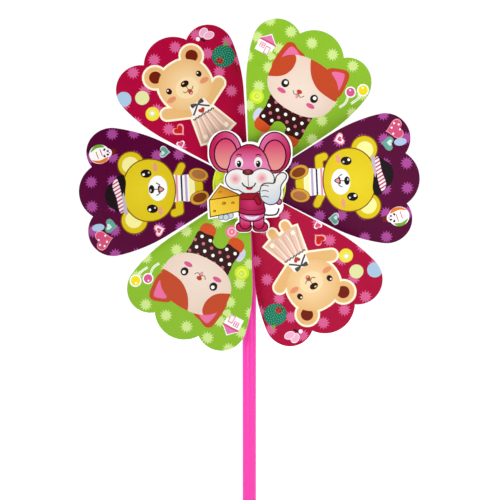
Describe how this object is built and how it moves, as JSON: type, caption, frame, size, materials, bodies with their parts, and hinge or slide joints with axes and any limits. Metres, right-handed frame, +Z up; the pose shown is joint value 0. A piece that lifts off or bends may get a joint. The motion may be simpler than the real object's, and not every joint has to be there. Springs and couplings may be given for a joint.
{
  "type": "pinwheel",
  "caption": "Toy pinwheel: a ring of sloped, printed plastic petals in a round hub with a die-cut badge, which spins on a pin through the moulded head of a straight plastic stick.",
  "frame": {"origin": "centre of the stick's open lower end", "axes": "+Z up along the stick to the wheel, the wheel faces -Y, +X to the right seen from the front"},
  "size_m": [0.2406, 0.0386, 0.3968],
  "materials": {
    "pink_tube": "glossy extruded tube",
    "pink_moulding": "glossy moulded",
    "pin_steel": "drawn wire",
    "white_washer": "plain nylon",
    "lime_moulding": "glossy moulded",
    "white_foam": "closed-cell foam tape",
    "badge_card": "printed and laminated card",
    "purple_sheet": "printed glossy sheet",
    "green_sheet": "printed glossy sheet",
    "crimson_sheet": "printed glossy sheet"
  },
  "bodies": {
    "stick": {"stick_tube": "pink_tube", "stick_head": "pink_moulding", "axle_pin": "pin_steel", "axle_washer_front": "white_washer", "axle_washer_rear": "white_washer", "spacer_sleeve": "pink_moulding", "rear_cap": "pink_moulding"},
    "wheel": {"hub_rear": "lime_moulding", "hub_front": "lime_moulding", "badge_foam_ring": "white_foam", "badge": "badge_card", "petal_1_purple": "purple_sheet", "petal_2_green": "green_sheet", "petal_3_crimson": "crimson_sheet", "petal_4_purple": "purple_sheet", "petal_5_green": "green_sheet", "petal_6_crimson": "crimson_sheet"}
  },
  "joints": [
    {"name": "wheel_spin", "type": "hinge", "parent": "stick", "child": "wheel", "pos_m": [0, 0, 0.28], "axis": [0, -1, 0], "continuous": true}
  ]
}
